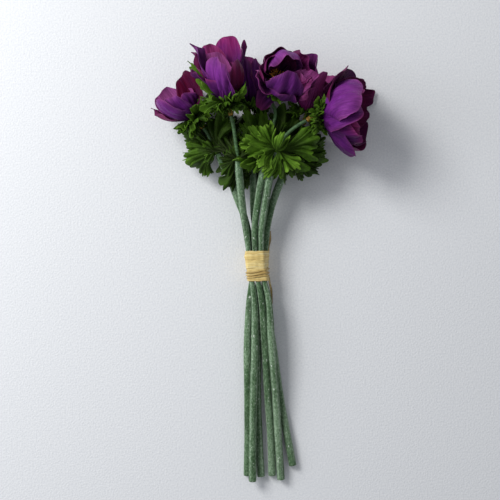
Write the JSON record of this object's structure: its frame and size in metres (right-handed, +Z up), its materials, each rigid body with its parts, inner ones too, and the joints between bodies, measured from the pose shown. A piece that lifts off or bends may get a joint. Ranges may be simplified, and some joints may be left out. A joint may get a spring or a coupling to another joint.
{
  "type": "bunch of artificial anemones",
  "caption": "Tied bunch of purple artificial anemones with thick green stems, ruffled leaves and a raffia band, lying flat.",
  "frame": {"origin": "on the table under the middle of the bunch's bounding box", "axes": "+Y along the stems towards the flowers, +Z up from the table, +X to the bunch's right seen from above with the flowers away"},
  "size_m": [0.1746, 0.3428, 0.0818],
  "materials": {
    "stem": "foam-thick green stem with a pale flocked bloom",
    "stalk": "thin wrapped flower stalk, satin",
    "tape": "yellow ochre neck tape, matte",
    "leaf": "coated leaf cloth, embossed veins, matte",
    "calyx": "coated leaf cloth, ruffled, matte",
    "outer_petal": "violet coated petal cloth with fine pleats and a soft sheen",
    "inner_petal": "dark plum coated petal cloth with magenta edges",
    "button": "near-black bead cluster",
    "stamen": "amber anther tips on dark threads",
    "raffia": "dry straw-coloured raffia strips"
  },
  "bodies": {
    "root": {"far_left_stem": "stem", "far_left_leaves": "leaf", "far_left_stalk": "stalk", "far_left_neck_tape": "tape", "far_left_calyx": "calyx", "far_left_outer_petals": "outer_petal", "far_left_inner_petals": "inner_petal", "far_left_button": "button", "far_left_stamens": "stamen", "left_stem": "stem", "left_leaves": "leaf", "left_stalk": "stalk", "left_neck_tape": "tape", "left_calyx": "calyx", "left_outer_petals": "outer_petal", "left_inner_petals": "inner_petal", "left_button": "button", "left_stamens": "stamen", "inner_left_stem": "stem", "inner_left_leaves": "leaf", "inner_left_stalk": "stalk", "inner_left_neck_tape": "tape", "inner_left_calyx": "calyx", "inner_left_outer_petals": "outer_petal", "inner_left_inner_petals": "inner_petal", "inner_left_button": "button", "inner_left_stamens": "stamen", "middle_stem": "stem", "middle_leaves": "leaf", "middle_stalk": "stalk", "middle_neck_tape": "tape", "middle_calyx": "calyx", "middle_outer_petals": "outer_petal", "middle_inner_petals": "inner_petal", "middle_button": "button", "middle_stamens": "stamen", "right_stem": "stem", "right_leaves": "leaf", "right_stalk": "stalk", "right_neck_tape": "tape", "right_calyx": "calyx", "right_outer_petals": "outer_petal", "right_inner_petals": "inner_petal", "right_button": "button", "right_stamens": "stamen", "inner_right_stem": "stem", "inner_right_leaves": "leaf", "inner_right_stalk": "stalk", "inner_right_neck_tape": "tape", "inner_right_calyx": "calyx", "inner_right_outer_petals": "outer_petal", "inner_right_inner_petals": "inner_petal", "inner_right_button": "button", "inner_right_stamens": "stamen", "raffia_band": "raffia", "raffia_tail_up": "raffia", "raffia_tail_down": "raffia"}
  },
  "joints": []
}
